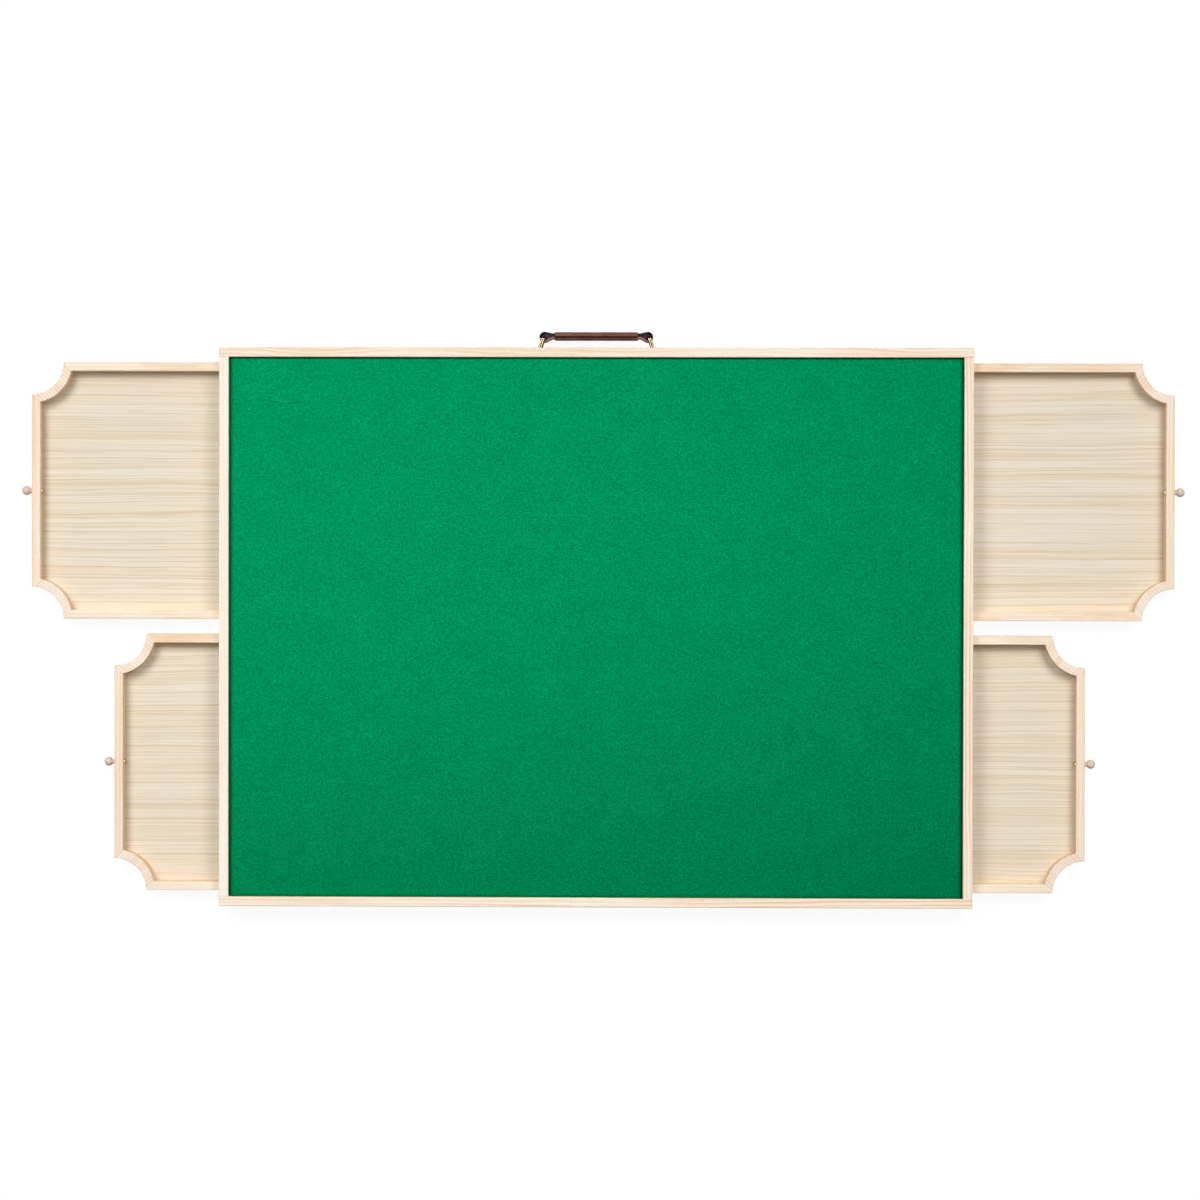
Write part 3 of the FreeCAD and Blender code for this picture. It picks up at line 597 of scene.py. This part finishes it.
def leather(name):
    """Pebbled leather with darker creases."""
    colour, dark, roughness, shine = LEATHERS[name]
    made, tree, shader = material(name)
    place = object_place(tree)
    cells = {"Vector": place, "Scale": LEATHER_PEBBLE, "Randomness": PEBBLE_DISORDER}
    pebble = add(tree, "TexVoronoi", cells, feature="SMOOTH_F1")
    crease = mottle(tree, place, LEATHER_CREASE, detail=5.0, roughness=0.6, distortion=0.8)
    wear_and_painted_light = mottle(tree, place, even(LEATHER_RUB), detail=3.0)
    tone = mixed(tree, remap(tree, crease, *LEATHER_CREASE_RANGE), dark, colour)
    tone = scaled(tree, tone, remap(tree, wear_and_painted_light, *MIDDLE, *LEATHER_TONES))
    least, most = roughness - LEATHER_SMOOTHER, roughness + LEATHER_ROUGHER
    plug(tree, shader, "Base Color", tone)
    plug(tree, shader, "Roughness", remap(tree, crease, *MIDDLE, most, least))
    plug(tree, shader, "Specular IOR Level", shine)
    raise_bumps(tree, shader, calc(tree, "MULTIPLY_ADD", crease, LEATHER_CREASE_BUMP, pebble), *LEATHER_BUMPS)
    return made


def rubber():
    """Black rubber, dusty in patches."""
    made, tree, shader = material("rubber")
    place = object_place(tree)
    grain = mottle(tree, place, even(RUBBER_GRAIN), detail=2.0)
    dust = remap(tree, mottle(tree, place, even(RUBBER_PATCH), detail=4.0), *DUST_RANGE)
    plug(tree, shader, "Base Color", mixed(tree, dust, RUBBER_DARK, RUBBER_DUST))
    plug(tree, shader, "Roughness", remap(tree, grain, *WIDE, *RUBBER_ROUGH))
    raise_bumps(tree, shader, grain, *RUBBER_BUMPS)
    return made


def thread():
    """Waxed dark thread, twisted."""
    made, tree, shader = material("thread")
    place = object_place(tree)
    twist = mottle(tree, place, THREAD_TWIST, detail=2.0)
    plug(tree, shader, "Base Color", mixed(tree, twist, THREAD_DARK, THREAD_PALE))
    plug(tree, shader, "Roughness", remap(tree, twist, *WIDE, *THREAD_ROUGH))
    raise_bumps(tree, shader, twist, *THREAD_BUMPS)
    return made


# Carried-over nodes


def middle(node):
    low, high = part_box(node)
    return (low + high) / 2


def grain_name(node):
    """Which way a piece's grain runs. In a scallop it points at the drawer's outer corner."""
    if node.endswith(("end_rail", "stop_bar", "_front", "_rear", "_dowels")):
        return "y"
    if node.endswith("_scallop"):
        drawer = node.rsplit("_", 2)[0]
        corner = middle(node)
        above = corner.y > middle(drawer + "_front").y
        return "rising" if (corner.x > 0) == above else "falling"
    return "x"


def wood_kind(node, slot, look):
    """The name and the look of a piece's wood."""
    if slot == "pine":
        for kind, (special, endings) in PINE_LOOKS.items():
            if node.endswith(endings):
                return kind, special
    return slot, look


def dress_nodes():
    """Gives each node its material, apart from those that are replaced."""
    turns = {"x": 0.0, "y": math.pi / 2, "rising": math.pi / 4, "falling": -math.pi / 4}
    woods = {"pine": PINE, "plywood": PLYWOOD, "beech": BEECH}
    finishes = {
        "fibreboard": fibreboard(),
        "brass": metal("brass"),
        "ring_brass": metal("ring_brass"),
        "screw_steel": metal("zinc_steel"),
        "rubber": rubber(),
    }
    for part in frame["record"]["subparts"]:
        name, finish = part["node"], part["material_slot"]
        if name.endswith("_ring"):
            finish = "ring_brass"
        if finish in woods:
            kind, look = wood_kind(name, finish, woods[finish])
            grain = grain_name(name)
            finish = f"{kind}_{grain}"
            if finish not in finishes:
                finishes[finish] = wood(finish, look, turns[grain])
        if finish in finishes:
            materials = nodes[name].data.materials
            materials.clear()
            materials.append(finishes[finish])


# Meshes


def new_piece(name, points, faces, looks, body):
    """A smooth-shaded piece that rides on a body."""
    mesh = bpy.data.meshes.new(name)
    mesh.from_pydata(points, [], faces)
    for look in looks:
        mesh.materials.append(look)
    for face in mesh.polygons:
        face.use_smooth = True
    mesh.update()
    piece = bpy.data.objects.new(name, mesh)
    bpy.context.scene.collection.objects.link(piece)
    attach(piece, body)
    return piece


def crease_height(x, y):
    """How far the felt stands up at a point because of its creases."""
    total = 0.0
    for (x0, y0), (x1, y1), height in FELT_CREASES:
        along = Vector((x1 - x0, y1 - y0))
        offset = Vector((x - x0, y - y0))
        share = offset.dot(along) / along.length_squared
        if not 0 < share < 1:
            continue
        bow = CREASE_BOW * math.sin(CREASE_BENDS * math.pi * share)
        away = abs(along.normalized().cross(offset) - bow) / CREASE_WIDTH
        if away < 1:
            total += height * math.sin(math.pi * share) * math.cos(math.pi / 2 * away) ** 2
    return total


def spread(low, high, step):
    """Places from low up to, but not at, high, about one step apart."""
    count = max(1, round((high - low) / step))
    return [low + (high - low) * k / count for k in range(count)]


def edge_drop(away):
    """How far the felt's top is pressed down at a distance from the lip."""
    share = max(0.0, 1 - away / FELT_EDGE_ROLL)
    return FELT_EDGE_DROP * share**2


def felt_top(x, y, low, high):
    """The height of the felt's top. It is pressed down along the lip, but not at the front."""
    wave = noise.noise(Vector((x * FELT_WAVE_SCALE, y * FELT_WAVE_SCALE, 0)))
    ripple = noise.noise(Vector((x * FELT_RIPPLE_SCALE, y * FELT_RIPPLE_SCALE, FELT_RIPPLE_SEED)))
    rise = FELT_WAVE * (wave + FELT_RIPPLE_SHARE * ripple - 1)
    from_lip = min(x - low.x, high.x - x, high.y - y)
    return high.z + rise + crease_height(x, y) - edge_drop(from_lip)


def felt_sheet():
    """The felt as a sheet: a slightly uneven, creased top whose cut edges turn down to the panel."""
    low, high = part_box("felt_sheet")
    roll = FELT_EDGE_ROLL
    x_places = spread(low.x, FELT_FINE_X, FELT_FINE_STEP)
    x_places += spread(FELT_FINE_X, high.x - roll, FELT_STEP)
    x_places += spread(high.x - roll, high.x, FELT_FINE_STEP) + [high.x]
    y_places = spread(low.y, FELT_FINE_Y, FELT_STEP)
    y_places += spread(FELT_FINE_Y, high.y, FELT_FINE_STEP) + [high.y]
    columns, rows = len(x_places) - 1, len(y_places) - 1
    points = [(x, y, felt_top(x, y, low, high)) for y in y_places for x in x_places]
    faces = []
    across = columns + 1
    for j in range(rows):
        for i in range(columns):
            a = j * across + i
            faces.append((a, a + 1, a + across + 1, a + across))
    border = list(range(columns))
    border += [columns + j * across for j in range(rows)]
    border += [rows * across + columns - i for i in range(columns)]
    border += [(rows - j) * across for j in range(rows)]
    first = len(points)
    points += [(points[b][0], points[b][1], low.z) for b in border]
    for k, b in enumerate(border):
        after = (k + 1) % len(border)
        faces.append((b, first + k, first + after, border[after]))
    faces.append(tuple(first + k for k in reversed(range(len(border)))))
    piece = new_piece("felt_surface", points, faces, [felt()], "case")
    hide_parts("felt_sheet")


# A step along the strap in plan: a place on its outside, the way outwards and the ply's thickness there
Step = namedtuple("Step", "place outward ply")


def flare(start, centre, radius, turn):
    """Steps along a run that leaves the grip straight and bends to touch a loop."""
    away = centre - start
    ahead = Matrix.Rotation(turn * math.asin(radius / away.length), 2) @ away.normalized()
    touch = start + ahead * math.sqrt(away.length_squared - radius**2)
    lead = (touch - start).length / 3
    bend_in = start + Vector((lead, 0))
    bend_out = touch - ahead * lead
    places = []
    for k in range(FLARE_STEPS + 1):
        t = k / FLARE_STEPS
        u = 1 - t
        places.append(start * u**3 + bend_in * 3 * u * u * t + bend_out * 3 * u * t * t + touch * t**3)
    steps = []
    for k, place in enumerate(places[:-1]):
        along = (places[k + 1] - place).normalized()
        steps.append(Step(place, Vector((-along.y, along.x)) * turn, STRAP_PLY))
    return steps, math.atan2(touch.y - centre.y, touch.x - centre.x)


def loop_steps():
    """Steps from the grip out along the far ply, round the ring and back along the near ply."""
    low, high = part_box("handle_strap")
    grip_low, grip_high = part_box("handle_grip")
    radius = (high.y - low.y) / 2
    centre = Vector((high.x - radius, (low.y + high.y) / 2))
    grip_y = (grip_low.y + grip_high.y) / 2
    start_x = grip_high.x + LOOP_FLARE_GAP
    far, first = flare(Vector((start_x, grip_y + STRAP_HALF)), centre, radius, 1)
    near, last = flare(Vector((start_x, grip_y - STRAP_HALF)), centre, radius, -1)
    bend = []
    for k in range(LOOP_STEPS + 1):
        angle = first + (last - first) * k / LOOP_STEPS
        outward = Vector((math.cos(angle), math.sin(angle)))
        thinner = (STRAP_PLY - STRAP_END_PLY) * max(0.0, math.cos(angle))
        bend.append(Step(centre + outward * radius, outward, STRAP_PLY - thinner))
    return far + bend + near[::-1], centre


def mirrored(step):
    return Step(Vector((-step.place.x, step.place.y)), Vector((-step.outward.x, step.outward.y)), step.ply)


def strap_section(half_width):
    """The strap's section as (depth share, height) points, with rounded edges."""
    corner = STRAP_EDGE_ROUND
    share = corner / STRAP_PLY
    tuck = 1 - math.sqrt(0.5)
    outer = [(0.0, half_width - corner), (share * tuck, half_width - corner * tuck), (share, half_width)]
    upper = outer + [(1 - depth, height) for depth, height in reversed(outer)]
    return upper + [(depth, -height) for depth, height in reversed(upper)]


def handle_strap():
    """The strap: a black ply on the far side and round the rings, and a brown ply on the near side."""
    low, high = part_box("handle_strap")
    half, centre = loop_steps()
    steps = half + [mirrored(step) for step in reversed(half)]
    section = strap_section((high.z - low.z) / 2)
    middle_z = (low.z + high.z) / 2
    brown_below = centre.y + BROWN_FROM * (high.y - low.y) / 2
    points, faces, looks = [], [], []
    count, size = len(steps), len(section)
    for step in steps:
        for depth, height in section:
            spot = step.place - step.outward * step.ply * depth
            points.append((spot.x, spot.y, middle_z + height))
    for k in range(count):
        here, there = k * size, (k + 1) % count * size
        near = steps[k].place.y < brown_below and steps[(k + 1) % count].place.y < brown_below
        for s in range(size):
            t = (s + 1) % size
            faces.append((here + s, here + t, there + t, there + s))
            looks.append(0 if near else 1)
    leathers = [leather("strap_brown"), leather("strap_black")]
    piece = new_piece("strap", points, faces, leathers, "handle")
    for face, look in zip(piece.data.polygons, looks):
        face.material_index = look
    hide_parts("handle_strap")


def painted_shade_fillers():
    """Painted shade: dark leather between the plies, and a little into them, from the grip to each ring's
    bar, where the loop's inside lies in shade.
    """
    low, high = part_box("handle_strap")
    half, centre = loop_steps()
    far = [step.place - step.outward * step.ply * FILLER_REACH for step in half[: FLARE_STEPS + 1]]
    near = [step.place - step.outward * step.ply * FILLER_REACH for step in half[-FLARE_STEPS - 1 :]]
    eye = centre + Vector((EYE_SHIFT, 0))
    start, end = far[-1] - eye, near[0] - eye
    first, last = math.atan2(start.y, start.x), math.atan2(end.y, end.x) + 2 * math.pi
    hollow = []
    for k in range(FILLER_STEPS + 1):
        angle = first + (last - first) * k / FILLER_STEPS
        hollow.append(eye + Vector((math.cos(angle), math.sin(angle))) * FILLER_EYE)
    tuck = Vector((LOOP_FLARE_GAP + GRIP_MOUTH / 2, 0))
    ring = [far[0] - tuck] + far + hollow + near + [near[-1] - tuck]
    bottom, top = low.z + FILLER_SINK, high.z - FILLER_SINK
    points, faces = [], []
    for side in (1, -1):
        first = len(points)
        count = len(ring)
        points += [(side * p.x, p.y, z) for z in (bottom, top) for p in ring]
        lower = [first + k for k in range(count)]
        upper = [first + count + k for k in range(count)]
        faces += [tuple(lower[::side]), tuple(upper[::-side])]
        for k in range(count):
            t = (k + 1) % count
            faces.append((lower[k], upper[k], upper[t], lower[t])[::side])
    new_piece("painted_shade_fillers", points, faces, [leather("strap_painted_shade")], "handle")


def ring_sleeve(side, look):
    """A dark sleeve round a ring's bar, inside the strap's loop, with a flange that the loop stands on; its
    colour is painted shade in the loop's eye.
    """
    low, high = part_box("handle_strap")
    centre_x = (high.x - (high.y - low.y) / 2 + EYE_SHIFT) * (1 if side == "right" else -1)
    centre_y = (low.y + high.y) / 2
    flange_top, top = low.z - FLANGE_GAP, high.z - FILLER_SINK
    bottom = flange_top - FLANGE_THICKNESS
    rims = [
        (bottom, FLANGE_RADIUS - SLEEVE_ROUND),
        (bottom + SLEEVE_ROUND, FLANGE_RADIUS),
        (flange_top - SLEEVE_ROUND, FLANGE_RADIUS),
        (flange_top, FLANGE_RADIUS - SLEEVE_ROUND),
        (flange_top, SLEEVE_RADIUS),
        (top - SLEEVE_ROUND, SLEEVE_RADIUS),
        (top, SLEEVE_RADIUS - SLEEVE_ROUND),
    ]
    points, faces = [], []
    for z, radius in rims:
        for s in range(SLEEVE_SIDES):
            angle = 2 * math.pi * s / SLEEVE_SIDES
            points.append((centre_x + radius * math.cos(angle), centre_y + radius * math.sin(angle), z))
    for k in range(len(rims) - 1):
        here, there = k * SLEEVE_SIDES, (k + 1) * SLEEVE_SIDES
        for s in range(SLEEVE_SIDES):
            t = (s + 1) % SLEEVE_SIDES
            faces.append((here + s, here + t, there + t, there + s))
    faces.append(tuple(reversed(range(SLEEVE_SIDES))))
    faces.append(tuple(range(len(points) - SLEEVE_SIDES, len(points))))
    new_piece(f"{side}_sleeve", points, faces, [look], f"{side}_ring")


def ring_sleeves():
    look = leather("sleeve_painted_shade")
    for side in ("left", "right"):
        ring_sleeve(side, look)


def grip_outline(half_y, half_z):
    """A rounded outline as (y, z) points, close together."""
    points = []
    for sy, sz, start in ((1, 1, 0), (-1, 1, 90), (-1, -1, 180), (1, -1, 270)):
        for k in range(GRIP_CORNER_STEPS + 1):
            angle = math.radians(start + 90 * k / GRIP_CORNER_STEPS)
            y = sy * (half_y - GRIP_ROUND) + GRIP_ROUND * math.cos(angle)
            z = sz * (half_z - GRIP_ROUND) + GRIP_ROUND * math.sin(angle)
            points.append(Vector((y, z)))
    dense = []
    for k, point in enumerate(points):
        after = points[(k + 1) % len(points)]
        count = max(1, round((after - point).length / GRIP_STEP))
        dense += [point.lerp(after, s / count) for s in range(count)]
    return dense


def seam_share(y, z):
    """How deep in the grip's seam a point of its outline lies: 0 outside it and 1 at its bottom."""
    away = (y - GRIP_SEAM_Y) / GRIP_SEAM_HALF
    return math.exp(-(away**4)) if z > 0 else 0.0


def seam_lip(y, z):
    """How far the turned edges beside the seam stand up, as a share."""
    away = abs(y - GRIP_SEAM_Y) / GRIP_SEAM_HALF
    return math.exp(-((away - SEAM_LIP_PLACE) ** 2) * SEAM_LIP_SHARP) if z > 0 else 0.0


def grip_sections(low, high):
    """Places along the grip, each with how far its outline is drawn in there."""
    first, last = low.x + GRIP_FLAT_FROM, high.x - GRIP_FLAT_FROM
    sections = [(low.x + depth, inset) for depth, inset in GRIP_END]
    for k in range(GRIP_SECTIONS + 1):
        sections.append((first + (last - first) * k / GRIP_SECTIONS, GRIP_FLAT_INSET))
    return sections + [(high.x - depth, inset) for depth, inset in reversed(GRIP_END)]


def handle_grip():
    """The wrapped grip: a softly uneven sleeve with an open mouth at each end and a seam along its top,
    painted dark inside as shade.
    """
    low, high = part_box("handle_grip")
    centre = (low + high) / 2
    half_y, half_z = (high.y - low.y) / 2, (high.z - low.z) / 2
    shape = grip_outline(half_y, half_z)
    sections = grip_sections(low, high)
    size = len(shape)
    points, faces, looks = [], [], []
    scale_x, scale_y, scale_z = GRIP_RIPPLE_SCALE
    for x, inset in sections:
        inset += GRIP_INSET + GRIP_WAVE * noise.noise(Vector((x * GRIP_WAVE_SCALE, GRIP_WAVE_SEED, 0)))
        for y, z in shape:
            sink = GRIP_SEAM_DEPTH * seam_share(y, z) - GRIP_SEAM_LIP * seam_lip(y, z)
            dent = max(0.0, noise.noise(Vector((x * scale_x, y * scale_y, z * scale_z))))
            ripple = 1 - GRIP_RIPPLE * dent
            out_y = y * (half_y - inset) / half_y * ripple
            out_z = (z - sink) * (half_z - inset) / half_z * ripple
            points.append((x, centre.y + out_y, centre.z + out_z))
    for k in range(len(sections) - 1):
        here, there = k * size, (k + 1) * size
        for s in range(size):
            t = (s + 1) % size
            faces.append((here + s, there + s, there + t, here + t))
            # Faces deep in the seam get near-black leather: painted shade
            looks.append(1 if seam_share(*shape[s]) > SEAM_SHADE_FROM else 0)
    faces.append(tuple(range(size)))
    faces.append(tuple(reversed(range(len(points) - size, len(points)))))
    leathers = [leather("grip_leather"), leather("grip_seam_shade")]
    piece = new_piece("grip", points, faces, leathers, "handle")
    for face, look in zip(piece.data.polygons, looks):
        face.material_index = look
    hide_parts("handle_grip")


def tube(points, faces, path, radius, sides):
    """Adds a closed round tube along a short path."""
    first = len(points)
    for k, place in enumerate(path):
        along = (path[min(k + 1, len(path) - 1)] - path[max(k - 1, 0)]).normalized()
        across = along.cross(Vector((0, 0, 1))).normalized()
        up = across.cross(along)
        for s in range(sides):
            angle = 2 * math.pi * s / sides
            points.append(place + (across * math.cos(angle) + up * math.sin(angle)) * radius)
    for k in range(len(path) - 1):
        for s in range(sides):
            t = (s + 1) % sides
            a, b = first + k * sides, first + (k + 1) * sides
            faces.append((a + s, a + t, b + t, b + s))
    faces.append(tuple(first + s for s in reversed(range(sides))))
    faces.append(tuple(first + (len(path) - 1) * sides + s for s in range(sides)))


def grip_stitches():
    """Slanted stitches that draw the grip's two edges together across the seam."""
    low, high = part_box("handle_grip")
    seam_y = (low.y + high.y) / 2 + GRIP_SEAM_Y
    count = int((high.x - low.x - 2 * STITCH_STEP) / STITCH_STEP)
    start = (low.x + high.x - (count - 1) * STITCH_STEP) / 2
    points, faces = [], []
    for k in range(count):
        path = []
        for s in range(STITCH_POINTS):
            share = 2 * s / (STITCH_POINTS - 1) - 1
            x = start + k * STITCH_STEP + STITCH_LEAN * share
            z = high.z - STITCH_SINK - STITCH_DIP * abs(share) ** 3
            path.append(Vector((x, seam_y + STITCH_REACH * share, z)))
        tube(points, faces, path, STITCH_RADIUS, STITCH_SIDES)
    new_piece("grip_stitches", points, faces, [thread()], "handle")


# Stage


def seen_directly(tree):
    """One for what is seen straight, in a mirror or through glass, and zero for light on the object."""
    path = add(tree, "LightPath", {}).outputs
    either = calc(tree, "MAXIMUM", path["Is Camera Ray"], path["Is Glossy Ray"])
    return calc(tree, "MAXIMUM", either, path["Is Transmission Ray"])


def add_camera():
    data = bpy.data.cameras.new("camera")
    data.sensor_width = CAMERA_SENSOR
    data.lens = CAMERA_LENS
    data.clip_end = CAMERA_FAR
    camera = bpy.data.objects.new("camera", data)
    camera.location = CAMERA_PLACE
    camera.rotation_euler = CAMERA_TURN
    bpy.context.scene.collection.objects.link(camera)
    bpy.context.scene.camera = camera


def add_room():
    """A white room that looks brighter than the light it gives."""
    world = bpy.data.worlds.new("room")
    bpy.context.scene.world = world
    world.use_nodes = True
    tree = world.node_tree
    background = tree.nodes["Background"]
    plug(tree, background, "Color", WHITE)
    strength = calc(tree, "MULTIPLY_ADD", seen_directly(tree), ROOM_GLOW - ROOM_LIGHT, ROOM_LIGHT)
    plug(tree, background, "Strength", strength)


def add_lamp(name, place, aim, power):
    """A round lamp with a soft beam towards one half of the board."""
    data = bpy.data.lights.new(name, "AREA")
    data.shape = "DISK"
    data.size = LAMP_SIZE
    data.spread = LAMP_SPREAD
    data.energy = power
    lamp = bpy.data.objects.new(name, data)
    lamp.location = place
    lamp.rotation_euler = (Vector(place) - Vector(aim)).to_track_quat("Z", "Y").to_euler()
    lamp.visible_camera = False
    bpy.context.scene.collection.objects.link(lamp)


def add_floor():
    """A floor that looks white, but throws little light back at the board."""
    half = FLOOR_SIZE / 2
    corners = [(-half, -half, 0), (half, -half, 0), (half, half, 0), (-half, half, 0)]
    mesh = bpy.data.meshes.new("floor")
    mesh.from_pydata(corners, [], [(0, 1, 2, 3)])
    floor = bpy.data.objects.new("floor", mesh)
    bpy.context.scene.collection.objects.link(floor)
    made, tree, shader = material("floor")
    plug(tree, shader, "Base Color", FLOOR_COLOUR)
    plug(tree, shader, "Roughness", 1.0)
    plug(tree, shader, "Specular IOR Level", 0.0)
    plug(tree, shader, "Emission Color", WHITE)
    plug(tree, shader, "Emission Strength", calc(tree, "MULTIPLY", seen_directly(tree), FLOOR_GLOW))
    mesh.materials.append(made)


bpy.context.scene.view_settings.view_transform = "Standard"
add_camera()
add_room()
add_lamp("left_lamp", LEFT_LAMP_PLACE, LEFT_LAMP_AIM, LEFT_LAMP_POWER)
add_lamp("right_lamp", RIGHT_LAMP_PLACE, RIGHT_LAMP_AIM, RIGHT_LAMP_POWER)
add_floor()
dress_nodes()
felt_sheet()
handle_strap()
painted_shade_fillers()
ring_sleeves()
handle_grip()
grip_stitches()
